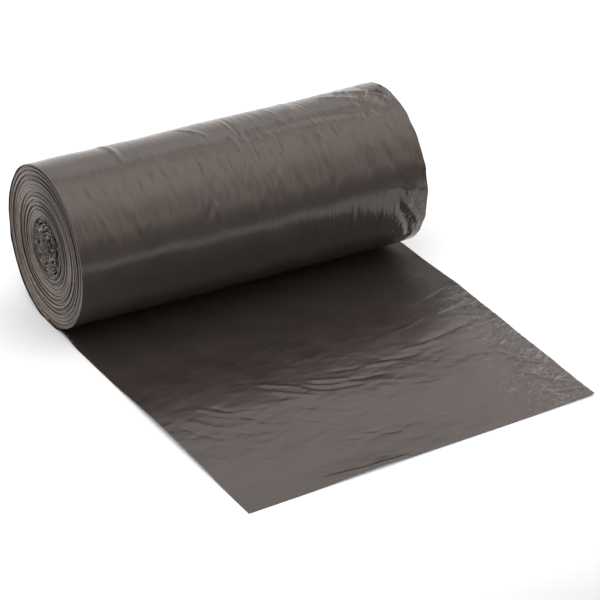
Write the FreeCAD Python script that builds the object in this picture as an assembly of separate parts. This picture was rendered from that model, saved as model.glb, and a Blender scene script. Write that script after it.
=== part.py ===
import FreeCAD, Part
import os
from math import cos, floor, hypot, pi, radians, sin

# A coreless roll of bin bags, lying on its side with the first bag drawn out flat in front of it.
# The bags are one long web of folded polythene film, joined end to end at their perforations, so the
# whole thing is one piece: the drawn-out leaf runs under the roll, up its back, over the top and
# inwards turn by turn, down to the crumpled start of the film in the middle.
#
# X runs along the roll, -Y is the way the leaf was drawn out and +Z is up. The origin is on the floor,
# under the middle of the roll. All sizes are in millimetres.

# The wound roll
roll_length = 250.0
roll_diameter = 110.0
middle_diameter = 40.0
flat_spot = 5.0

# The film. The leaf is one bag, folded in eight plies with a little air between them. The turns of
# the real roll are that thin too, but they cling together in bundles, and each turn here is such a
# bundle. They are wound too tight for any gap, each bedded a little into the next, and show at the
# ends as steps.
leaf_thickness = 1.2
turn_thickness = 2.45
bedding = 0.15

# How far the edges of the turns stand in at the two ends, and how far the turns inside are set back
# from the outer one at the right-hand end
edge_wander = 1.8
turns_per_wander = 2.3
right_set_back = 5.0

# The crumpled start of the film in a pocket at each end. Its creases lie in each other from turn to
# turn, and further in they are pressed together.
crumple_turns = 3.2
crumple_hollow_radius = 3.6
crumple_set_back = 2.5
crumple_depth = 18.0
large_creases = 5
large_crease_depth = 0.1
small_creases = 7
small_crease_depth = 0.03

# The drawn-out leaf, a little out of square. On the right it lies a little past the end of the roll.
leaf_length_left = 267.0
leaf_length_right = 250.0
leaf_taper_left = 2.5
leaf_overhang_right = 6.0

# Its shallow waves: how far each crest lies from the valley behind it, how far the next valley lies
# from the crest, and how high the film is at the two
flat_run = 34.0
waves_angle = 12.0
waves = (
    (22.0, 20.0, 1.3, 0.1),
    (26.0, 30.0, 2.4, 0.2),
    (20.0, 24.0, 1.1, 0.0),
    (26.0, 22.0, 1.9, 0.3),
    (18.0, 20.0, 0.8, 0.0),
    (24.0, 26.0, 1.5, 0.2),
)

top_radius = roll_diameter / 2
half_flat = flat_spot / 2
axis_height = top_radius - half_flat + turn_thickness / 2
turn_count = floor((top_radius - middle_diameter / 2) / turn_thickness)
middle_radius = top_radius - turn_count * turn_thickness
cutter_margin = 10.0


def point(y, z, x=0.0):
    """A point of a cross-section of the roll. The cross-section is drawn at x = 0."""
    return FreeCAD.Vector(x, y, z)


def line(start, end):
    return Part.LineSegment(start, end).toShape()


def arc(centre_y, radius, first_deg, last_deg):
    """An arc centred at the height of the roll's axis. 0 degrees is at the back and 90 on top."""
    angles = [radians(first_deg + share * (last_deg - first_deg)) for share in (0.0, 0.5, 1.0)]
    places = [point(centre_y + radius * cos(a), axis_height + radius * sin(a)) for a in angles]
    return Part.Arc(*places).toShape()


def chain_of_arcs(places):
    """Arcs end to end, each through three of the places."""
    return [Part.Arc(*places[i : i + 3]).toShape() for i in range(0, len(places) - 2, 2)]


def web_section(outer, inner):
    """The cross-section of a length of web, between its outer and its inner side."""
    outer_ends = Part.Wire(outer).OrderedVertexes
    inner_ends = Part.Wire(inner).OrderedVertexes
    first = line(outer_ends[0].Point, inner_ends[0].Point)
    last = line(outer_ends[-1].Point, inner_ends[-1].Point)
    return Part.Face(Part.Wire(Part.__sortEdges__(outer + inner + [first, last])))


def web_edges(turns_in):
    """Where the web's left and right edges lie, that many turns in from the outside of the roll.

    The outermost turn runs to both ends, and the turns inside it settle to their own places.
    """
    phase = 2 * pi * turns_in / turns_per_wander
    settled = min(1.0, max(0.0, turns_in - 1.0))
    left = -roll_length / 2 + edge_wander * settled * (1 + sin(phase)) / 2
    right = roll_length / 2 - settled * (right_set_back + edge_wander * sin(phase + 1.0) / 2)
    return left, right


def web_between(section, left, right):
    placed = section.copy()
    placed.translate(FreeCAD.Vector(left, 0, 0))
    return placed.extrude(FreeCAD.Vector(right - left, 0, 0))


def upper_half(turn, inset):
    """One side of a turn above the roll's axis, from the back over the top to the front."""
    return [arc(turn_thickness / 2, top_radius - turn * turn_thickness - inset, 0, 180)]


def lower_half(turn, inset):
    """One side of a turn below the axis: front quarter, flat foot and back quarter."""
    height = turn * turn_thickness + inset
    radius = axis_height - height
    return [
        arc(-half_flat, radius, 180, 270),
        line(point(-half_flat, height), point(half_flat, height)),
        arc(half_flat, radius, 270, 360),
    ]


def outer_foot(inset):
    """One side of the web where the leaf turns up into the roll, under its back half."""
    return [
        line(point(0, inset), point(half_flat, inset)),
        arc(half_flat, axis_height - inset, 270, 360),
    ]


def wound_turns():
    """The neat turns, half a turn at a time, from the foot in to the crumpled middle."""
    bedded = turn_thickness + bedding
    sections = [web_section(outer_foot(0.0), outer_foot(bedded))]
    for turn in range(turn_count):
        if turn:
            sections.append(web_section(lower_half(turn, 0.0), lower_half(turn, bedded)))
        sections.append(web_section(upper_half(turn, 0.0), upper_half(turn, bedded)))
    return [web_between(section, *web_edges(i / 2)) for i, section in enumerate(sections)]


def pressed_middle():
    """The film in the middle between the two crumpled pockets, sunk into the innermost turn."""
    length = roll_length - right_set_back - 2 * crumple_depth
    start = point(0, axis_height, crumple_depth - roll_length / 2)
    radius = middle_radius + 0.7 * turn_thickness
    return Part.makeCylinder(radius, length, start, FreeCAD.Vector(1, 0, 0))


def crumple_radius(angle):
    """How far the crumpled web's middle line is from the roll's axis, after turning by the angle."""
    turned = angle / (2 * pi)
    base = middle_radius + (crumple_hollow_radius - middle_radius) * turned / crumple_turns
    base -= half_flat * min(1.0, 4 * turned) * max(0.0, 1.0 - turned)
    large = 0.65 * cos(large_creases * angle) + 0.35 * cos(2 * angle + 1.0) - 0.84
    small = sin(small_creases * angle)
    return base * (1 + min(1.0, turned) * (large_crease_depth * large + small_crease_depth * small))


def crumpled_middle():
    """The start of the film, gathered by hand and wound on itself with nothing inside."""
    count = 4 * round(crumple_turns * small_creases)
    angles = [2 * pi * crumple_turns * i / count for i in range(count + 1)]
    middle = [(-crumple_radius(a) * cos(a), axis_height - crumple_radius(a) * sin(a)) for a in angles]
    outer, inner = [], []
    for i, (y, z) in enumerate(middle):
        before, after = middle[max(i - 1, 0)], middle[min(i + 1, count)]
        run_y, run_z = (after[0] - before[0], after[1] - before[1]) if i else (0.0, -1.0)
        thinned = min(1.0, angles[i] / pi)
        thickness = turn_thickness + (leaf_thickness - turn_thickness) * thinned
        reach = thickness / 2 / hypot(run_y, run_z)
        outer.append(point(y + run_z * reach, z - run_y * reach))
        inner.append(point(y - run_z * reach, z + run_y * reach))
    left, right = web_edges(turn_count)
    section = web_section(chain_of_arcs(outer), chain_of_arcs(inner))
    return web_between(section, left + crumple_set_back, right - crumple_set_back)


def half_wave(start, end):
    """An S of two shallow arcs, level at both ends."""
    quarter = (end - start) * 0.25
    eighth_up = point(0.0, (end.z - start.z) / 8)
    first = point(start.y + quarter.y, start.z) + eighth_up
    last = point(end.y - quarter.y, end.z) - eighth_up
    return chain_of_arcs([start, first, (start + end) * 0.5, last, end])


def wave_side(lift):
    """One side of the leaf's waves, going forwards from under the roll."""
    valley = point(-flat_run, lift)
    edges = [line(point(flat_run, lift), valley)]
    for to_crest, to_valley, crest_height, valley_height in waves:
        crest = point(valley.y - to_crest, crest_height + lift)
        next_valley = point(crest.y - to_valley, valley_height + lift)
        edges += half_wave(valley, crest) + half_wave(crest, next_valley)
        valley = next_valley
    return edges + [line(valley, point(-leaf_length_left - roll_length, valley.z))]


def drawn_out_leaf():
    """The drawn-out end of the first bag: waves that cross it at an angle, cut to its outline."""
    section = web_section(wave_side(0.0), wave_side(leaf_thickness))
    section.rotate(FreeCAD.Vector(), FreeCAD.Vector(0, 0, 1), -waves_angle)
    angle = radians(waves_angle)
    along_crests = FreeCAD.Vector(cos(angle), -sin(angle), 0) * roll_length
    section.translate(-along_crests)
    wavy_film = section.extrude(2 * along_crests)

    left = -roll_length / 2
    right = roll_length / 2 + leaf_overhang_right
    corners = [
        (left, 0.0),
        (left + leaf_taper_left, -leaf_length_left),
        (right, -leaf_length_right),
        (right, 0.0),
        (left, 0.0),
    ]
    outline = Part.makePolygon([point(y, -cutter_margin, x) for x, y in corners])
    cutter = Part.Face(outline).extrude(FreeCAD.Vector(0, 0, 2 * cutter_margin))
    return wavy_film.common(cutter)


def bag_roll():
    """The whole web, fused into one solid."""
    pieces = wound_turns() + [crumpled_middle(), drawn_out_leaf()]
    return pressed_middle().multiFuse(pieces).removeSplitter()


os.makedirs("parts", exist_ok=True)
roll = bag_roll()
print("turns", turn_count, "solids", len(roll.Solids), "valid", roll.isValid())
print("volume", round(roll.Volume), "box", roll.optimalBoundingBox())
roll.Solids[0].exportStep("parts/bag_roll.step")
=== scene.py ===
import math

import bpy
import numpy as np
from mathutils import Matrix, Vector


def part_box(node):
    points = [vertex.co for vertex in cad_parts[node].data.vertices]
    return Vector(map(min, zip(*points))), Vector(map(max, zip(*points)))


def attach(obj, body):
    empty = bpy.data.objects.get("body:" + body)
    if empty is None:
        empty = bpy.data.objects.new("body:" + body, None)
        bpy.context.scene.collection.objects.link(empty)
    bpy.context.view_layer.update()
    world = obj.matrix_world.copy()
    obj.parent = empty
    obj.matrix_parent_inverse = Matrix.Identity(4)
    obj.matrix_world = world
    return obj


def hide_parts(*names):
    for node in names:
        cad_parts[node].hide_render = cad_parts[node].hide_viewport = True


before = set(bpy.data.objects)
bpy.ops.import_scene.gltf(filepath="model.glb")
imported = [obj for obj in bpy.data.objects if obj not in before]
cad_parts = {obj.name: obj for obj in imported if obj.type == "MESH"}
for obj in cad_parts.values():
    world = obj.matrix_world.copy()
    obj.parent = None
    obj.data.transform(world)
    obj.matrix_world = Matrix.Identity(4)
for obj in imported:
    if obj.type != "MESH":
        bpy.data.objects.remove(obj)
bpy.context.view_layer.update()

# %% [markdown]
# # A roll of bin bags, with the first bag drawn out
#
# The object is one long web of folded polythene film. The bags follow each other along it, joined at
# their perforations, and it is wound on itself with no core. Its end is drawn out in front as a flat
# leaf. The CAD model already holds that form as one solid. Here the solid is replaced by thin film:
# the drawn-out leaf, the outermost turn, the edges of the turns at the two ends, and the crumpled
# start of the film in the middle.
#
# Everything is in metres, in the CAD model's own frame: X runs along the roll, -Y is the way the leaf
# was drawn out, and Z is up. All that is random comes from seeded generators, so each run is the same.

MM = 0.001
roll_low, roll_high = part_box("bag_roll")
left_end, leaf_right = roll_low.x, roll_high.x
leaf_front = roll_low.y
roll_top, roll_back = roll_high.z, roll_high.y

# %% [markdown]
# ## The line that the film follows
#
# Seen along the roll, the film runs under it, up its back, over the top and down the front, and then
# further and further in. One turn is nearly a circle. It is soft, so its lower half has settled on a
# small flat spot. A single function gives the place of the film for any number of turns and any depth
# under the surface. Every piece uses it, which is why the pieces meet without any fitting.

# %% Driving sizes of the roll
roll_radius = 55.0 * MM
# Half the width of the flat spot under the roll, and the angle over which the roll settles on it
half_flat = 2.2 * MM
foot_angle = math.radians(7)
film_thickness = 0.3 * MM
# How much further in the outermost turn ends than it starts
turn_rise = 1.5 * MM
# How far the leaf lies past the right-hand end of the roll, and how far the outermost turn stands out
# there past the turns inside it
leaf_past_roll = 6.0 * MM
overhang = 5.0 * MM
right_end = leaf_right - leaf_past_roll
turn_length = 2 * math.pi * roll_radius
axis_z = roll_top - roll_radius
axis_y = roll_back - roll_radius - turn_rise / 4


def ring(turned, inset):
    """The place (y, z) of the film and its outward direction.

    0 turns is under the roll, and 1/4 is at its back.
    """
    angle = 2 * np.pi * turned
    side, up = np.sin(angle), -np.cos(angle)
    below = up < 0
    radius = np.where(below, roll_radius - half_flat, roll_radius) - inset
    shift = np.where(below, half_flat * np.clip(side / math.sin(foot_angle), -1, 1), 0.0)
    return axis_y + shift + radius * side, axis_z + radius * up, side, up


print("axis at y, z, mm:", round(axis_y / MM, 2), round(axis_z / MM, 2))

# %% [markdown]
# ## A grid for each length of film
#
# Film is modelled from a grid primitive. Its two directions are the two directions of the film, and
# each point is then moved to its place in the roll. A point keeps its place on the flat film as its
# UV coordinates, in metres, so that a pattern can follow the film round the roll. Solidify gives the
# film its thickness at the end, and closes it at its edges. An operator acts on all that is selected,
# so everything is deselected before each step.

# %% Selecting one piece alone
def pick(piece):
    """Selects that piece alone, or nothing at all."""
    for thing in bpy.context.selected_objects:
        thing.select_set(False)
    if piece:
        bpy.context.view_layer.objects.active = piece
        piece.select_set(True)


# %% Laying out a length of film
def grid_of_film(name, columns, rows, place, flat_size):
    """A grid whose points go where place(u, v) says, u and v running from 0 to 1 along its sides.

    The fourth thing that place gives is how pale the film is there, from 0 to 1, which carries painted
    highlights and painted shade.
    """
    pick(None)
    bpy.ops.mesh.primitive_grid_add(x_subdivisions=columns, y_subdivisions=rows, size=1)
    piece = bpy.context.object
    piece.name = piece.data.name = name
    mesh = piece.data
    flat = np.empty(len(mesh.vertices) * 3)
    mesh.vertices.foreach_get("co", flat)
    flat = flat.reshape(-1, 3)
    *spot, pale = place(flat[:, 0] + 0.5, flat[:, 1] + 0.5)
    mesh.vertices.foreach_set("co", np.stack(spot, axis=1).ravel())
    mesh.attributes.new("pale", "FLOAT", "POINT").data.foreach_set("value", np.clip(pale, 0, 1))
    uv = np.empty(len(mesh.loops) * 2)
    mesh.uv_layers.active.data.foreach_get("uv", uv)
    mesh.uv_layers.active.data.foreach_set("uv", (uv.reshape(-1, 2) * flat_size).ravel())
    mesh.update()
    return piece


# %% Giving it its thickness
def finish_film(piece, thickness, sharp_deg, offset=-1):
    """Gives the film its thickness and smooths it, apart from its sharp creases."""
    pick(piece)
    modifier = piece.modifiers.new("thickness", "SOLIDIFY")
    modifier.thickness = thickness
    modifier.offset = offset
    bpy.ops.object.modifier_apply(modifier=modifier.name)
    bpy.ops.object.shade_smooth_by_angle(angle=math.radians(sharp_deg))
    piece.data.calc_loop_triangles()
    print(piece.name, len(piece.data.loop_triangles), "triangles")


# %% [markdown]
# ## How the film creases
#
# Thin polythene does three things. It billows in long soft waves where it lies loose. It puckers in
# narrow streaks along the way it was pulled. And where it was handled it is crushed into flat facets
# with sharp, straight creases between them. Three functions give the height of the film for these,
# and a fourth draws the creases that can be picked out one by one.

# %% Soft steps
def ramp(value, start, end):
    """0 before start, 1 after end, and smooth between."""
    share = np.clip((value - start) / (end - start), 0, 1)
    return share * share * (3 - 2 * share)


# %% Billows
def billows(p, q, seed, length, count=9):
    """Soft waves of about that length, in all directions, from about -1 to 1."""
    rng = np.random.default_rng(seed)
    height = np.zeros_like(p)
    for _ in range(count):
        turn, phase = rng.uniform(0, 2 * np.pi, 2)
        wave = length * rng.uniform(0.7, 1.5)
        height += np.sin(2 * np.pi * (p * np.cos(turn) + q * np.sin(turn)) / wave + phase)
    return height / math.sqrt(count)


# %% Streaks
def streaks(p, q, seed, count, p_span, q_span, width, length, lean=0.1):
    """Narrow ridges and grooves that run along q, scattered over the spans of p and q."""
    rng = np.random.default_rng(seed)
    height = np.zeros_like(p)
    for _ in range(count):
        p0, q0 = rng.uniform(*p_span), rng.uniform(*q_span)
        wide, long = width * rng.uniform(0.6, 1.6), length * rng.uniform(0.4, 1.6)
        tilt = rng.normal(0, lean)
        tall = rng.uniform(0.3, 1.0) * rng.choice([-1, 1])
        # Only points near the streak are worked out: further off it has died away
        reach = 3 * wide + 2.5 * long * abs(tilt)
        near = np.flatnonzero((np.abs(q - q0) < 2.5 * long) & (np.abs(p - p0) < reach))
        along = (q[near] - q0) / long
        across = (p[near] - p0 - tilt * (q[near] - q0)) / wide
        height[near] += tall * np.exp(-(along**2) - across**2)
    return height


# %% Facets
def facets(p, q, seed, spacing, count=8):
    """Crushed film: straight, sharp creases in all directions, from about 0 to 1."""
    rng = np.random.default_rng(seed)
    height = np.zeros_like(p)
    for _ in range(count):
        turn, phase = rng.uniform(0, np.pi), rng.uniform(0, 1)
        pace = spacing * rng.uniform(0.7, 1.8)
        bend = 0.25 * billows(p, q, rng.integers(1 << 30), spacing * 3, 3)
        share = (p * np.cos(turn) + q * np.sin(turn)) / pace + phase + bend
        height += np.abs(share - np.floor(share) - 0.5) * 2
    return height / count


# %% Creases drawn one by one
def creases(p, q, folds):
    """The height of those creases. Each has its two ends, its width and its height, in millimetres."""
    height = np.zeros_like(p)
    for p0, q0, p1, q1, wide, tall in folds:
        run_p, run_q = (p1 - p0) * MM, (q1 - q0) * MM
        long = math.hypot(run_p, run_q)
        share = ((p - p0 * MM) * run_p + (q - q0 * MM) * run_q) / long**2
        across = ((p - p0 * MM) * run_q - (q - q0 * MM) * run_p) / long
        across = across - 0.04 * long * np.sin(np.clip(share, 0, 1) * math.pi)
        past = np.clip(-share, 0, None) + np.clip(share - 1, 0, None)
        fade = (past * long / (2 * wide * MM)) ** 2
        height += tall * MM * np.exp(-fade - (across / (wide * MM)) ** 2)
    return height


# %% [markdown]
# ## The outermost turn
#
# This is the first bag still on the roll: one sheet of film, from the foot of the roll round its back
# and over the top to where it dives in behind the leaf. It was wound with some pull, so it is
# puckered round the roll, most of all towards the right-hand end, where it also stands out past the
# turns inside it and has been crushed. A cylinder primitive would give only the round form. A grid
# laid along the film's own path can be creased in its own directions.

# %% Creases of the outermost turn that can be picked out
# Each: x along the roll and degrees up from the front, for both ends, then width and height in mm
turn_creases = (
    (3, 76, 4, 62, 1.6, 0.22),
    (9, 74, 5, 63, 1.3, 0.18),
    (4, 62, -5, 36, 1.3, -0.32),
    (-21, 48, -32, 25, 1.4, -0.26),
    (-26, 48, -34, 30, 1.3, 0.20),
    (-110, 39, -109, 27, 1.5, 0.30),
    (-104, 39, -101, 25, 1.4, 0.30),
    (-82, 39, -81, 27, 1.4, 0.20),
    (-74, 112, -74, 84, 2.0, 0.30),
    (-20, 104, -12, 88, 1.6, 0.22),
    (16, 76, 105, 71, 3.4, -0.42),
    (-46, 71, -2, 67, 3.0, -0.16),
    (30, 58, 20, 40, 1.5, -0.22),
    (62, 60, 58, 30, 1.4, 0.20),
    (66, 52, 60, 24, 1.4, -0.20),
    (84, 100, 112, 74, 1.3, 0.40),
    (96, 104, 120, 84, 1.4, 0.40),
    (104, 70, 112, 50, 1.5, 0.30),
    (108, 2, 122, -22, 1.5, 0.50),
    (106, -6, 118, -34, 1.6, -0.50),
    (112, 6, 124, -10, 1.4, 0.45),
    (100, 12, 124, 2, 1.6, 0.40),
)


def along_film(degrees_up):
    """How far along the film, in mm, that place on the front or top of the roll is."""
    return (270 - degrees_up) / 360 * turn_length / MM


turn_folds = [(a, along_film(b), c, along_film(d), w, t) for a, b, c, d, w, t in turn_creases]
print(len(turn_folds), "creases, the first at", [round(v) for v in turn_folds[0]])


# %% The relief of the outermost turn
def turn_relief(x, s):
    """How far the outermost turn stands out at x along the roll and s along the film."""
    # Soft waves, long ones and short ones
    height = 0.30 * MM * billows(x, s * 0.5, 11, 75 * MM)
    height += 0.11 * MM * billows(x, s * 0.8, 12, 24 * MM)
    # Puckers where it was pulled, most of all on the right. Low in front, just above the leaf, it
    # lies smooth.
    pulled = 0.3 + 0.7 * ramp(x, -50 * MM, 0 * MM)
    span = (left_end, right_end), (0.05 * turn_length, turn_length)
    smooth = 0.7 * np.exp(-(((s - along_film(9) * MM) / (11 * MM)) ** 2))
    height += 0.20 * MM * pulled * (1 - smooth) * streaks(x, s, 13, 900, *span, 0.95 * MM, 8 * MM)
    height += 0.30 * MM * pulled * (1 - smooth) * streaks(x, s, 14, 130, *span, 1.5 * MM, 11 * MM, 0.3)
    front = (left_end, right_end), (along_film(66) * MM, along_film(24) * MM)
    height += 0.42 * MM * (0.45 + 0.55 * pulled) * streaks(x, s, 17, 260, *front, 1.5 * MM, 6.5 * MM, 0.2)
    height += 2.1 * creases(x, s, turn_folds)
    # The right-hand end was crushed, in large facets and small ones
    crushed = ramp(x, right_end - 34 * MM, right_end - 4 * MM)
    height += 0.7 * MM * crushed * (facets(x, s, 15, 17 * MM) - 0.5)
    height += 0.7 * MM * crushed * (facets(x * 0.6, s, 16, 5 * MM, 5) - 0.5)
    # The turns inside hold it up, most of all at their ends, and beyond them it may sink
    beyond = ramp(x, right_end - overhang, right_end)
    yielding = ramp(x, left_end + 5 * MM, left_end + 15 * MM) * (1 - crushed)
    return np.maximum(height, (-0.45 - 0.4 * yielding - 0.6 * beyond) * MM)


# %% Placing it round the roll
def place_turn(u, v):
    s = u * turn_length
    wander = 0.2 * MM * billows(s, s, 21, 30 * MM) * (1 - v)
    flare = ramp(v, 0.93, 1) * (2.2 * MM - 0.4 * MM * billows(s, s, 22, 22 * MM))
    # Where it dives in behind the leaf, its right-hand edge is tucked back to the turns inside
    tucked = ramp(v, 0.93, 1) * ramp(u, 0.88, 1) * (overhang + 2 * MM)
    x = left_end + v * (right_end - left_end) + wander + flare - tucked
    y, z, out_y, out_z = ring(u, turn_rise * (u - 0.5))
    relief = turn_relief(x, s) * ramp(u, 0.0, 0.08) * (1 - ramp(u, 0.93, 1.0))
    # Whitish lines are painted on here as highlights of the crinkled gloss: at the right-hand end, on top
    # and low in front
    degrees_up = 270 - 360 * u
    on_top = np.exp(-(((degrees_up - 88) / 17) ** 2))
    low_in_front = np.exp(-(((degrees_up + 16) / 20) ** 2))
    painted_glints = 0.36 * ramp(x, right_end - 38 * MM, right_end - 6 * MM) * (on_top + low_in_front)
    return x, y + out_y * relief, z + out_z * relief, painted_glints


outer_turn = grid_of_film("outer_turn", 128, 372, place_turn, (turn_length, right_end - left_end))
finish_film(outer_turn, film_thickness, 60)

# %% [markdown]
# ## The drawn-out leaf
#
# The leaf is the open end of the first bag. It lies on the floor, but not flat: from the roll it
# swells up a little, and then falls to the floor in front. Where it falls, it is gathered in a row of
# folds. Its right-hand edge was crushed, a length of its front edge is lifted, and next to the roll
# its left edge curls up. A cloth simulation could drape it, but the floor holds it nearly flat, and its
# folds are too fine and too sharp to come out of one. So it is a grid like the turn, laid out flat and
# lifted by the same functions.

# %% Folds of the leaf that can be picked out
# Each: x and y of both ends, then width and height, all in mm
leaf_folds = [
    (-94, -152, -78, -167, 1.8, 0.32),
    (-84, -156, -68, -180, 1.6, -0.26),
    (-104, -164, -92, -178, 1.6, 0.22),
    (-112, -168, -100, -186, 1.5, -0.2),
    (-46, -144, -28, -156, 1.8, 0.36),
    (-30, -153, -12, -168, 1.7, -0.34),
    (-14, -166, 8, -171, 1.7, -0.3),
    (-44, -156, -26, -170, 1.5, 0.26),
    (-20, -160, -6, -166, 1.4, 0.26),
    (-16, -154, 2, -161, 1.8, 0.36),
    (2, -150, 22, -152, 1.5, -0.26),
    (6, -164, 26, -166, 1.6, -0.24),
    (22, -152, 40, -156, 1.8, 0.34),
    (38, -152, 58, -155, 1.5, -0.32),
    (56, -147, 76, -148, 1.6, 0.3),
    (72, -144, 90, -142, 1.6, -0.28),
    (88, -141, 108, -137, 1.6, -0.3),
    (60, -124, 84, -118, 1.4, 0.2),
    (-62, -256, -12, -258, 1.7, 0.45),
    (-110, -259, -96, -263, 1.5, -0.3),
    (-30, -223, -24, -225, 1.2, -0.26),
    (-16, -221, -8, -223, 1.2, -0.26),
    (-6, -227, 2, -229, 1.2, -0.26),
    (-84, -218, -80, -222, 1.2, -0.26),
    (-50, -190, -30, -206, 1.5, 0.14),
    (20, -180, 52, -192, 1.6, 0.14),
    (98, -178, 122, -184, 1.2, 0.34),
    (106, -176, 116, -192, 1.1, 0.4),
    (110, -190, 128, -206, 1.1, 0.4),
    (104, -206, 126, -218, 1.1, 0.36),
    (112, -216, 129, -232, 1.1, 0.36),
    (108, -234, 128, -240, 1.1, 0.3),
    (100, -116, 124, -108, 1.5, 0.26),
    (88, -100, 118, -90, 1.5, -0.2),
]
# Two rows of small crimps across the film, left by the bag machine's grip
for i in range(9):
    leaf_folds.append((-21 + 0.4 * i, -102 - 3.4 * i, -17 + 0.4 * i, -101 - 3.4 * i, 0.9, 0.22))
for i in range(5):
    leaf_folds.append((12, -93 - 3.8 * i, 16, -92 - 3.8 * i, 0.9, 0.18))
print(len(leaf_folds), "folds on the leaf")


# %% The outline of the leaf
# Where its front edge ends on the right, how far its left edge leans in towards the front, and where
# the leaf starts under the roll
leaf_front_right = -250 * MM
leaf_taper = 2.5 * MM
leaf_start = 3 * MM
leaf_size = (leaf_start - leaf_front, leaf_right - left_end)
print("leaf laid flat, mm:", [round(v / MM, 1) for v in leaf_size])


# %% The relief of the leaf
def curled_edge(x, out):
    """Where the left edge of the leaf curls up next to the foot of the roll, 1 at most."""
    near_edge = 1 - ramp(x - left_end, 0, 6 * MM)
    return near_edge * ramp(out, 8 * MM, 20 * MM) * (1 - ramp(out, 22 * MM, 44 * MM))


def leaf_relief(x, y):
    """How high the underside of the leaf lies above the floor."""
    out = -y
    # It swells up to a brow, and falls to the floor in front of it
    brow = 192 * MM + 8 * MM * ramp(-x, 0, 90 * MM) - 56 * MM * ramp(x, 70 * MM, leaf_right)
    swell = ramp(out, brow - 115 * MM, brow - 38 * MM) * (1 - ramp(out, brow - 38 * MM, brow + 52 * MM))
    height = 2.8 * MM * swell * (1 - 0.45 * ramp(x, 95 * MM, leaf_right))
    # Away from the roll it is free to ripple and pucker, most of all along the brow
    free = ramp(out, 25 * MM, 90 * MM)
    height += 0.35 * MM * free * (1 + billows(x * 0.45, y, 31, 55 * MM))
    height += 0.08 * MM * free * (1 + billows(x * 0.6, y, 32, 17 * MM))
    span = (-262 * MM, -60 * MM), (left_end, leaf_right)
    height += 0.08 * MM * free * streaks(y, x, 33, 1500, *span, 1.7 * MM, 7 * MM, 0.3)
    slant = y + 0.55 * x
    slant_span = (-330 * MM, 20 * MM), (left_end, leaf_right)
    gathered = np.exp(-(((out - brow + 22 * MM) / (24 * MM)) ** 2))
    height += 0.11 * MM * gathered * streaks(y, x, 35, 700, *span, 1.6 * MM, 6 * MM, 0.3)
    slanting = streaks(slant, x, 37, 900, *slant_span, 1.7 * MM, 6 * MM, 0.25)
    height += (0.05 + 0.12 * gathered) * MM * free * slanting
    height += 1.35 * creases(x, y, leaf_folds)
    # The crushed right-hand edge, the lifted front edge and the curled left edge
    crushed = ramp(x + 0.25 * (out - 180 * MM), 75 * MM, 125 * MM) * ramp(out, 55 * MM, 110 * MM)
    height += 0.5 * MM * crushed * facets(x, y, 34, 13 * MM)
    height += 0.65 * MM * crushed * facets(x, y, 36, 5 * MM, 5)
    lifted = np.exp(-(((x + 38 * MM) / (34 * MM)) ** 2)) * ramp(out, 238 * MM, 262 * MM)
    height += 1.6 * MM * lifted
    height += 2.4 * MM * curled_edge(x, out)
    # The floor stops it, and it settles there softly
    settled = 0.25 * MM
    return (height + np.sqrt(height**2 + settled**2)) / 2 + 0.06 * MM


# %% Placing it on the floor
def place_leaf(u, v):
    front = leaf_front + v * (leaf_front_right - leaf_front)
    y = front + u * (leaf_start - front)
    # Under the roll the right-hand edge eases in to meet the edge of the outermost turn
    wide = leaf_right - left_end - 3.6 * MM * (1 - ramp(-y, 0, 18 * MM))
    x = left_end + leaf_taper * (1 - u) * (1 - v) + v * wide
    # Painted highlights: whitish glint lines along the crushed right-hand edge, and on the left edge
    # where it curls up
    painted_glints = 0.34 * ramp(x - 0.2 * (y + 180 * MM), 76 * MM, 128 * MM) * ramp(-y, 60 * MM, 100 * MM)
    return x, y, leaf_relief(x, y), painted_glints + 0.8 * curled_edge(x, -y)


leaf = grid_of_film("leaf", 225, 215, place_leaf, leaf_size)
finish_film(leaf, film_thickness, 60)

# %% [markdown]
# ## The edges of the turns
#
# At each end of the roll all the turns show edge on. There are over a hundred of them, too fine to
# tell apart. What the eye sees is that they cling together in about two dozen bundles, with a dark
# gap between each bundle and the next, and paler rims within. A hundred thin rings would cost a great
# many faces and shimmer in the render. So the end is one long band, wound inwards from the outermost
# turn. Across the band run a deep groove and a few fine ridges, and each point of it keeps how pale it
# is, for the material to read: the grooves are painted dark as shade, and the rims are paler, partly
# as painted highlight.

# %% The edges of the turns at one end
middle_radius = 20 * MM
bundle_count = 24
band_columns = 10
points_per_turn = 150
groove_depth = 1.6 * MM


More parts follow.
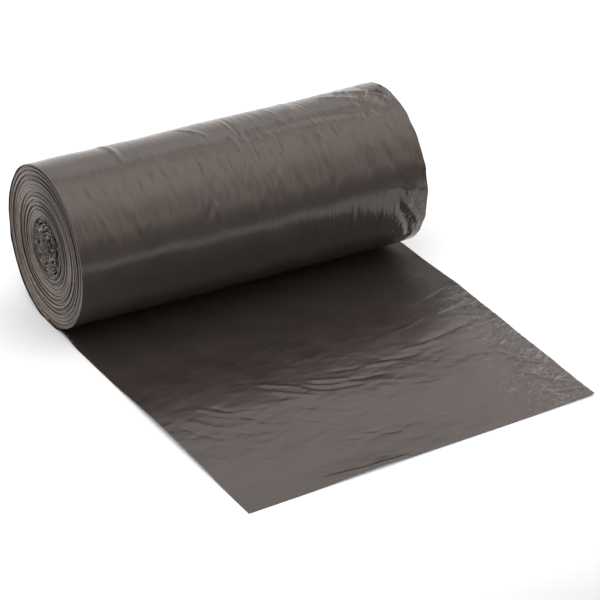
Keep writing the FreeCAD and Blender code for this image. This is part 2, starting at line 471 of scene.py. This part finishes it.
def edges_of_turns(name, end_x, into, set_back, seed):
    """The turns at one end of the roll. into is +1 where the inside of the roll lies towards +X."""
    rng = np.random.default_rng(seed)
    # How deep each bundle starts. The first lies just under the outermost turn, a little further in at
    # the right-hand end, where that turn runs on past it. The last ends at the middle.
    inner = roll_radius - middle_radius
    share = rng.uniform(0.6, 1.4, bundle_count)
    share[0] = turn_rise / (inner / bundle_count)
    share[1:] *= (bundle_count - share[0]) / share[1:].sum()
    start = film_thickness * 0.8 - turn_rise / 2 + (0.5 * MM if into < 0 else 0)
    depth = np.concatenate([[0], np.cumsum(share)]) * (inner - start) / bundle_count + start
    depth = np.append(depth, depth[-1] + share[-1] * inner / bundle_count)
    turns = np.arange(bundle_count + 2.0)
    # Where each column of the band lies across it: the two grooves, and the ridges between them
    ridges = band_columns - 2
    shifted = np.arange(ridges) + rng.uniform(-0.3, 0.3, ridges)
    across = np.linspace(0, 1, band_columns)
    across[1:-1] = np.sort(np.clip(0.05 + 0.9 * shifted / (ridges - 1), 0.04, 0.96))
    pace, phase = rng.uniform(0.6, 2.6, band_columns), rng.uniform(0, 6.3, band_columns)
    weight = rng.uniform(0.3, 1.0, band_columns) ** 1.5

    def place(u, v):
        w = u * bundle_count
        column = np.rint((v if into < 0 else 1 - v) * (band_columns - 1)).astype(int)
        outer = np.interp(w, turns, depth)
        wide = np.interp(w + 1, turns, depth) - outer
        y, z, out_y, out_z = ring(w % 1.0, outer + across[column] * wide)
        groove = (column == 0) | (column == band_columns - 1)
        groove_turn = np.where(column == 0, w, w + 1)
        open_up = 0.55 + 0.45 * np.sin(2.1 * groove_turn + 1.3 * np.sin(5.1 * groove_turn))
        rise = weight[column] * (0.6 + 0.4 * np.sin(pace[column] * w + phase[column])) * (column % 2)
        stand = 0.45 * MM * np.sin(2.9 * w + 1.0) + 0.25 * MM * np.sin(7.3 * w)
        sunk = set_back + stand * ramp(w, 0.0, 1.2) + 0.7 * MM - 0.32 * MM * rise
        sunk = sunk + np.where(groove, groove_depth * open_up, 0)
        # Painted highlight: towards the top at the back and the bottom the rims are painted paler, as
        # bright sectors of their gloss
        around = 2 * np.pi * (w % 1.0)
        painted_sector_highlight = 0.7 + 0.6 * np.exp(-(((around - 2.45) / 0.6) ** 2)) + 0.25 * np.cos(around)
        # Painted shade darkens the grooves; rims are paler where ridges rise, partly their own pale
        # edges, partly painted highlight
        pale = np.where(groove, 0.12, (0.24 + 0.85 * rise) * painted_sector_highlight)
        return end_x + into * sunk, y, z, pale

    piece = grid_of_film(name, bundle_count * points_per_turn, band_columns - 1, place, (1.0, 1.0))
    finish_film(piece, 0.12 * MM, 35)
    return piece


left_edges = edges_of_turns("left_edges", left_end, 1, 0.2 * MM, 41)
right_edges = edges_of_turns("right_edges", right_end, -1, overhang, 42)

# %% [markdown]
# ## The crumpled middle
#
# A coreless roll starts with a handful of film gathered up and wound on itself. In the middle of each
# end that film shows as crumpled ribbons with dark valleys between them. The ribbons are one more
# spiral, with its points pushed about by a field of flat facets, so that neighbours crumple together
# and don't cross. Each ribbon leans inwards by more than the step to the next, so that the eye lands on
# film everywhere and never on an empty hole.

# %% The crumpled middle of one end
ribbon_turns = 9
ribbon_points = 1300
ribbon_rows = 13
pocket_depth = 5.5 * MM
ribbon_lean = 2.8 * MM


def crumpled_middle(name, end_x, into, set_back, seed):
    """The crumpled film in the middle of one end. into is as for the edges of the turns."""

    def kinks(y, z, extra):
        coarse = facets(y, z, seed + extra, 6.5 * MM, 5) - 0.5
        fine = facets(y, z, seed + extra + 1, 3.6 * MM, 4) - 0.5
        return 7.0 * MM * (coarse - coarse.mean()) + 4.0 * MM * fine

    def place(u, v):
        w = u * ribbon_turns
        angle = 2 * np.pi * w
        base = middle_radius + 1.0 * MM - (middle_radius - 1.0 * MM) * u**1.2
        leant = np.maximum(base - ribbon_lean * v, 0.3 * MM)
        y, z = -leant * np.sin(angle), -leant * np.cos(angle) * 1.02
        # Next to the turns the ribbon lies as they do, and further in it comes loose and ragged
        loose = ramp(w, 0.0, 3.0)
        ragged = ramp(w, 0.2, 2.0)
        length = base * angle
        deep = pocket_depth * v**1.3
        flutter = 1.2 * MM * (facets(length, deep * 0.8, seed + 4, 2.4 * MM, 4) - 0.5)
        pushed_y = kinks(y, z, 0) + flutter * np.sin(angle)
        pushed_z = kinks(y, z, 2) + flutter * np.cos(angle)
        y, z = y + loose * pushed_y, z + loose * pushed_z
        torn = facets(length, length * 0, seed + 5, 3.0 * MM, 4)
        sunk = set_back + 0.4 * MM + ragged * (0.8 * MM * (1 - base / middle_radius) + 1.8 * MM * torn)
        # Painted light: whitish highlights on the ribbons' front edges, and painted shade deeper in
        rim = np.where(v < 0.01, 1.4 * torn**2, np.where(v < 0.1, 0.5 * torn + 0.1, 0.22))
        pale = rim * (0.6 + 0.4 * ragged)
        return end_x + into * (sunk + deep), axis_y + y, axis_z + z, pale

    piece = grid_of_film(name, ribbon_points, ribbon_rows, place, (1.0, 1.0))
    finish_film(piece, 0.32 * MM, 50, 0)
    return piece


left_middle = crumpled_middle("left_middle", left_end, 1, 0.2 * MM, 51)
right_middle = crumpled_middle("right_middle", right_end, -1, overhang, 61)

# %% [markdown]
# ## The film's look
#
# Bin bags are low-density polythene, blown as a tube, with recycled pellets and some carbon black, so
# the film is smoky and not quite opaque. It is glossy, but it isn't flat: the gloss breaks up into
# soft bands. Where it is crinkled, short thin whitish lines are painted on as highlights. On the end
# faces the cut and folded edges scatter light, and look paler than the film; their grooves are painted
# dark as shade and their rims get painted highlights. A picture of real film could be laid over the
# pieces, but noise at real sizes follows the film just as well and can be tuned by hand.

# %% Colours and nodes
def linear(hex_colour):
    """A colour as sRGB hex, turned to the linear values that shaders work in."""
    parts = [int(hex_colour[i : i + 2], 16) / 255 for i in (1, 3, 5)]
    return [c / 12.92 if c <= 0.04045 else ((c + 0.055) / 1.055) ** 2.4 for c in parts] + [1.0]


def add_node(tree, kind, links=None, inputs=None, **settings):
    """Adds a node with its properties, the values of its inputs and the links into it."""
    node = tree.nodes.new(kind)
    for key, value in settings.items():
        setattr(node, key, value)
    for key, value in (inputs or {}).items():
        node.inputs[key].default_value = value
    for key, source in (links or {}).items():
        tree.links.new(source, node.inputs[key])
    return node


# %% Film seen flat
# The size of the clouds in its tint, how long and how far apart its painted highlight lines are, and how
# near to a half the noise has to be for one to show. In a Mix node the two colours are inputs 6 and 7.
cloud_size = 22 * MM
crease_length = 16 * MM
crease_spacing = 4 * MM
crease_width = 0.013


def film_material(name, dark, pale, glint_colour, slant, roughness, bump_mm, along_mm, across_mm):
    """Film whose bump is stretched along it. The wavelengths are those along and across the film.

    Where the mesh's pale attribute is high, thin whitish lines are painted on at a slant as highlights.
    """
    material = bpy.data.materials.new(name)
    material.use_nodes = True
    tree = material.node_tree
    tree.nodes.clear()
    flat = add_node(tree, "ShaderNodeTexCoord").outputs["UV"]
    cloud = add_node(
        tree,
        "ShaderNodeTexNoise",
        {"Vector": flat},
        {"Scale": 1 / cloud_size, "Detail": 3.0, "Roughness": 0.55},
    )
    tint = add_node(
        tree,
        "ShaderNodeMix",
        {"Factor": cloud.outputs["Fac"]},
        {6: linear(dark), 7: linear(pale)},
        data_type="RGBA",
    )
    painted_glint_share = add_node(tree, "ShaderNodeAttribute", attribute_name="pale").outputs["Fac"]
    crease_way = add_node(
        tree,
        "ShaderNodeMapping",
        {"Vector": flat},
        {"Rotation": (0, 0, math.radians(slant)), "Scale": (crease_length, crease_spacing, 1)},
        vector_type="TEXTURE",
    )
    crease_field = add_node(
        tree,
        "ShaderNodeTexNoise",
        {"Vector": crease_way.outputs[0]},
        {"Scale": 1.0, "Detail": 1.0},
    )
    glint_line = add_node(
        tree,
        "ShaderNodeMath",
        {0: crease_field.outputs["Fac"]},
        {1: 0.5, 2: crease_width},
        operation="COMPARE",
    )
    # Painted highlights: thin whitish lines where the pale attribute is high
    glint_mask = add_node(
        tree,
        "ShaderNodeMath",
        {0: glint_line.outputs[0], 1: painted_glint_share},
        operation="MULTIPLY",
    )
    tint_with_glints = add_node(
        tree,
        "ShaderNodeMix",
        {"Factor": glint_mask.outputs[0], 6: tint.outputs[2]},
        {7: linear(glint_colour)},
        data_type="RGBA",
    )
    dull = add_node(
        tree,
        "ShaderNodeMapRange",
        {"Value": cloud.outputs["Fac"]},
        {"From Min": 0.3, "From Max": 0.7, "To Min": roughness - 0.03, "To Max": roughness + 0.04},
    )
    stretch = add_node(
        tree,
        "ShaderNodeMapping",
        {"Vector": flat},
        {"Scale": (1 / (along_mm * MM), 1 / (across_mm * MM), 1)},
    )
    grain = add_node(
        tree,
        "ShaderNodeTexNoise",
        {"Vector": stretch.outputs[0]},
        {"Scale": 1.0, "Detail": 3.0, "Roughness": 0.5},
    )
    bump = add_node(
        tree,
        "ShaderNodeBump",
        {"Height": grain.outputs["Fac"]},
        {"Strength": 1.0, "Distance": bump_mm * MM},
    )
    surface = add_node(
        tree,
        "ShaderNodeBsdfPrincipled",
        {"Base Color": tint_with_glints.outputs[2], "Roughness": dull.outputs[0], "Normal": bump.outputs["Normal"]},
        {"IOR": 1.52, "Specular IOR Level": 0.62, "Specular Tint": linear("#fff5ef")},
    )
    add_node(tree, "ShaderNodeOutputMaterial", {"Surface": surface.outputs[0]})
    print(name, len(tree.nodes), "nodes")
    return material


# %% Film seen edge on
# The size of the specks that scatter its light, and how deep they are
speck_size = 3.5 * MM
speck_depth = 0.25 * MM


def edge_material(name, painted_hollow_shade, middle, rim, roughness):
    """Edges of film, coloured by how pale each point is: painted shade in hollows, painted highlights on
    rims.
    """
    material = bpy.data.materials.new(name)
    material.use_nodes = True
    tree = material.node_tree
    tree.nodes.clear()
    place = add_node(tree, "ShaderNodeTexCoord").outputs["Object"]
    pale = add_node(tree, "ShaderNodeAttribute", attribute_name="pale").outputs["Fac"]
    speck = add_node(
        tree,
        "ShaderNodeTexNoise",
        {"Vector": place},
        {"Scale": 1 / speck_size, "Detail": 3.0, "Roughness": 0.6},
    )
    uneven = add_node(
        tree,
        "ShaderNodeMath",
        {0: speck.outputs["Fac"]},
        {1: 1.1, 2: 0.45},
        operation="MULTIPLY_ADD",
    )
    lit = add_node(
        tree,
        "ShaderNodeMath",
        {0: pale, 1: uneven.outputs[0]},
        operation="MULTIPLY",
    )
    colour = add_node(tree, "ShaderNodeValToRGB", {"Fac": lit.outputs[0]})
    stops = colour.color_ramp.elements
    stops[0].color = linear(painted_hollow_shade)
    stops[1].color = linear(rim)
    stops.new(0.4).color = linear(middle)
    dull = add_node(
        tree,
        "ShaderNodeMapRange",
        {"Value": speck.outputs["Fac"]},
        {"From Min": 0.3, "From Max": 0.7, "To Min": roughness - 0.06, "To Max": roughness + 0.06},
    )
    bump = add_node(
        tree,
        "ShaderNodeBump",
        {"Height": speck.outputs["Fac"]},
        {"Strength": 1.0, "Distance": speck_depth},
    )
    surface = add_node(
        tree,
        "ShaderNodeBsdfPrincipled",
        {
            "Base Color": colour.outputs["Color"],
            "Roughness": dull.outputs[0],
            "Normal": bump.outputs["Normal"],
        },
        {"IOR": 1.52, "Specular IOR Level": 0.5},
    )
    add_node(tree, "ShaderNodeOutputMaterial", {"Surface": surface.outputs[0]})
    print(name, len(tree.nodes), "nodes")
    return material


# %% The four finishes
smoky_dark = "#2a2623"
smoky_pale = "#36302c"
# The colour of the painted highlight lines on the film
glint_white = "#a19c98"
# Blown low-density polythene, wound under pull: a soft gloss, broken by fine puckers round the roll.
wound_film = film_material(
    "wound_smoky_polythene", smoky_dark, smoky_pale, glint_white, -28, 0.19, 0.16, 20, 1.5
)
# The same film lying loose: duller, with puckers that are shorter and run less one way.
loose_film = film_material(
    "loose_smoky_polythene", smoky_dark, smoky_pale, glint_white, 68, 0.29, 0.07, 2.5, 7
)
# The folded edges of many plies at once: paler and more scattered, with painted shade in the grooves and
# painted highlights on the rims.
film_edges = edge_material("stacked_film_edges", "#1d1917", "#544b45", "#bfb1a4", 0.38)
# Crumpled film: painted shade darkens its hollows, and painted highlights make it whitish where a fold or
# an edge catches the light.
crumpled_film = edge_material("crumpled_film", "#211d1a", "#4a423c", "#e2dad2", 0.25)

# %% Which piece has which finish
for piece, material in (
    (outer_turn, wound_film),
    (leaf, loose_film),
    (left_edges, film_edges),
    (right_edges, film_edges),
    (left_middle, crumpled_film),
    (right_middle, crumpled_film),
):
    piece.data.materials.clear()
    piece.data.materials.append(material)
    print(piece.name, "is", material.name)

# %% [markdown]
# ## What each piece is to the CAD model
#
# All the pieces ride on the part's one body, and together they stand for its one solid.

# %% Riding and replacing
for piece in (outer_turn, leaf, left_edges, right_edges, left_middle, right_middle):
    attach(piece, "root")
    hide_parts("bag_roll")

# %% [markdown]
# ## The floor
#
# The roll was photographed on white, under a broad light from above. A glossy dark thing shows its
# surroundings more than its colour, so the room matters as much as the material. The floor is a large
# sheet of matt white paper. A falloff of light is painted on it, grey towards the camera, because what
# it mirrors in the front of the roll should be dark.

# %% Floor
# Where along Y the painted falloff leaves the paper grey and where it is white again, in metres
falloff_grey_y, paper_white_y = -0.65, -0.27
pick(None)
bpy.ops.mesh.primitive_plane_add(size=8, location=(0, 0, -0.05 * MM))
floor = bpy.context.object
floor.name = "floor"
floor_paper = bpy.data.materials.new("matt_white_paper")
floor_paper.use_nodes = True
paper = floor_paper.node_tree
paper_place = add_node(paper, "ShaderNodeTexCoord").outputs["Object"]
paper_split = add_node(paper, "ShaderNodeSeparateXYZ", {0: paper_place})
# Painted falloff of light: the paper is painted grey towards the camera
painted_falloff = add_node(
    paper,
    "ShaderNodeMapRange",
    {"Value": paper_split.outputs["Y"]},
    {"From Min": falloff_grey_y, "From Max": paper_white_y, "To Min": 0.0, "To Max": 1.0},
    interpolation_type="SMOOTHSTEP",
)
paper_with_painted_falloff = add_node(
    paper,
    "ShaderNodeMix",
    {"Factor": painted_falloff.outputs[0]},
    {6: linear("#7e7e7e"), 7: linear("#f1f5f8")},
    data_type="RGBA",
)
paper_surface = paper.nodes["Principled BSDF"]
paper_surface.inputs["Roughness"].default_value = 0.95
paper_surface.inputs["Specular IOR Level"].default_value = 0.1
paper.links.new(paper_with_painted_falloff.outputs[2], paper_surface.inputs["Base Color"])
floor.data.materials.append(floor_paper)
print("floor of", round(floor.dimensions.x, 1), "m")

# %% [markdown]
# ## The black card
#
# Photographers hang a black card where a gloss should stay dark. This one hangs behind the right-hand
# end and keeps the sky out of the film next to the roll. It could be a dark patch in the sky, but a
# card can be cut to its outline and moved. Only gloss sees it: it takes no light from the scene and
# doesn't show.

# %% Black card
# Its corners across and up, in mm, on a plane that far from the origin in that direction
card_corners = ((95, -80), (215, -80), (215, -25), (174, 6), (154, 36), (136, 54), (112, 54), (95, 20))
card_distance = 300
card_way = Vector((0.462, 0.75, 0.472)).normalized()
card_across = card_way.cross(Vector((0, 0, 1))).normalized()
card_up = card_across.cross(card_way)
pick(None)
bpy.ops.mesh.primitive_circle_add(vertices=len(card_corners), radius=0.1, fill_type="NGON")
black_card = bpy.context.object
black_card.name = "black_card"
for corner, (across, up) in zip(black_card.data.vertices, card_corners):
    corner.co = (card_way * card_distance + card_across * across + card_up * up) * MM
black_card.visible_camera = False
black_card.visible_diffuse = False
black_card.visible_shadow = False
card_black = bpy.data.materials.new("matt_black_card")
card_black.use_nodes = True
card_surface = card_black.node_tree.nodes["Principled BSDF"]
card_surface.inputs["Base Color"].default_value = linear("#1a1a1a")
card_surface.inputs["Roughness"].default_value = 0.9
black_card.data.materials.append(card_black)
print("black card with", len(black_card.data.vertices), "corners")

# %% [markdown]
# ## The light
#
# Lamps would show in the gloss as hard-edged patches. So the studio is a sky of soft light, brightest
# overhead, still bright behind the roll and dim low down in front, where the camera stands. It also
# grows from left to right: a wrinkle that runs round the roll shows only when its two flanks mirror a
# darker and a brighter piece of the room.

# %% How bright the sky is
# At each height, from the horizon at 0 to overhead at 1, in front of the roll and behind it
sky_front = (
    (0.0, 0.32),
    (0.14, 0.38),
    (0.24, 0.56),
    (0.34, 0.74),
    (0.42, 1.2),
    (0.66, 1.3),
    (0.74, 1.62),
    (0.84, 2.15),
    (0.9, 2.5),
    (0.955, 2.45),
    (1.0, 1.7),
)
sky_back = (
    (0.0, 1.2),
    (0.19, 1.3),
    (0.46, 1.08),
    (0.62, 1.65),
    (0.74, 1.7),
    (0.79, 1.2),
    (0.84, 1.3),
    (0.9, 2.4),
    (0.96, 2.5),
    (1.0, 1.8),
)
# And its tint from the left of the roll, at 0, to the right, at 1
sky_tints = (
    (0.0, (0.76, 0.728, 0.71)),
    (0.6, (0.66, 0.632, 0.616)),
    (0.8, (1.0, 0.958, 0.934)),
    (1.0, (1.0, 1.0, 1.0)),
)
sky_peak = 2.5
sky_strength = 1.15 * sky_peak

# %% The sky
world = bpy.data.worlds.new("studio")
bpy.context.scene.world = world
world.use_nodes = True
sky = world.node_tree
sky_way = add_node(sky, "ShaderNodeTexCoord").outputs["Generated"]
sky_split = add_node(sky, "ShaderNodeSeparateXYZ", {0: sky_way})


def sky_ramp(source, stops):
    """A colour ramp with those stops, each a place and a colour."""
    node = add_node(sky, "ShaderNodeValToRGB", {"Fac": source})
    elements = node.color_ramp.elements
    elements.remove(elements[1])
    for i, (place, colour) in enumerate(stops):
        stop = elements[0] if i == 0 else elements.new(place)
        stop.position = place
        stop.color = (*colour, 1)
    return node.outputs["Color"]


def by_height(strengths):
    """The same for the heights of the sky, in shares of its brightest."""
    stops = [(height, [strength / sky_peak] * 3) for height, strength in strengths]
    return sky_ramp(sky_split.outputs["Z"], stops)


sky_side = add_node(
    sky,
    "ShaderNodeMapRange",
    {"Value": sky_split.outputs["Y"]},
    {"From Min": -0.3, "From Max": 0.3},
)
sky_mix = add_node(
    sky,
    "ShaderNodeMix",
    {"Factor": sky_side.outputs[0], 6: by_height(sky_front), 7: by_height(sky_back)},
    data_type="RGBA",
)
sky_sideways = add_node(
    sky,
    "ShaderNodeMapRange",
    {"Value": sky_split.outputs["X"]},
    {"From Min": -1.0, "From Max": 1.0},
)
sky_lit = add_node(
    sky,
    "ShaderNodeMix",
    {6: sky_mix.outputs[2], 7: sky_ramp(sky_sideways.outputs[0], sky_tints)},
    {"Factor": 1.0},
    data_type="RGBA",
    blend_type="MULTIPLY",
)
sky_background = sky.nodes["Background"]
sky.links.new(sky_lit.outputs[2], sky_background.inputs["Color"])
sky_background.inputs["Strength"].default_value = sky_strength
print("sky with", len(sky.nodes), "nodes")

# %% [markdown]
# ## A weak fill lamp
#
# Low down in front the sky is dim, so the shade under the roll would be too deep. A wide lamp that
# gloss doesn't see lifts it without showing in the film.

# %% Fill lamp
fill = bpy.data.lights.new("fill", "AREA")
fill.shape = "RECTANGLE"
fill.size = 1.2
fill.size_y = 0.3
fill.energy = 4.5
fill_lamp = bpy.data.objects.new("fill", fill)
bpy.context.scene.collection.objects.link(fill_lamp)
fill_lamp.location = (-0.5, -1.1, 0.16)
fill_way = Vector((0, 0, 0.02)) - fill_lamp.location
fill_lamp.rotation_euler = fill_way.to_track_quat("-Z", "Y").to_euler()
fill_lamp.visible_glossy = False
fill_lamp.visible_camera = False
print("fill lamp of", fill.energy, "W")

# %% [markdown]
# ## The camera
#
# It stands to the left of the leaf and above it, as the photograph's did. The roll's long edges run
# together only a little with distance, so the photograph was taken from about two metres away with a
# long lens. Its focal length is given in pixels of the picture, and the lens is worked out from it.

# %% Camera
yaw, pitch = math.radians(-29.2), math.radians(28.5)
aim = Vector((-17.3 * MM, -140.0 * MM, 54.5 * MM))
distance = 2.094
focal_px, image_px, sensor_mm = 3378, 600, 36
back = Vector((math.sin(yaw) * math.cos(pitch), -math.cos(yaw) * math.cos(pitch), math.sin(pitch)))
lens = bpy.data.cameras.new("camera")
lens.sensor_width = sensor_mm
lens.lens = focal_px / image_px * sensor_mm
camera = bpy.data.objects.new("camera", lens)
bpy.context.scene.collection.objects.link(camera)
camera.location = aim + back * distance
camera.rotation_euler = (-back).to_track_quat("-Z", "Y").to_euler()
bpy.context.scene.camera = camera
bpy.context.scene.view_settings.view_transform = "Standard"
print("camera at, m:", [round(v, 3) for v in camera.location])
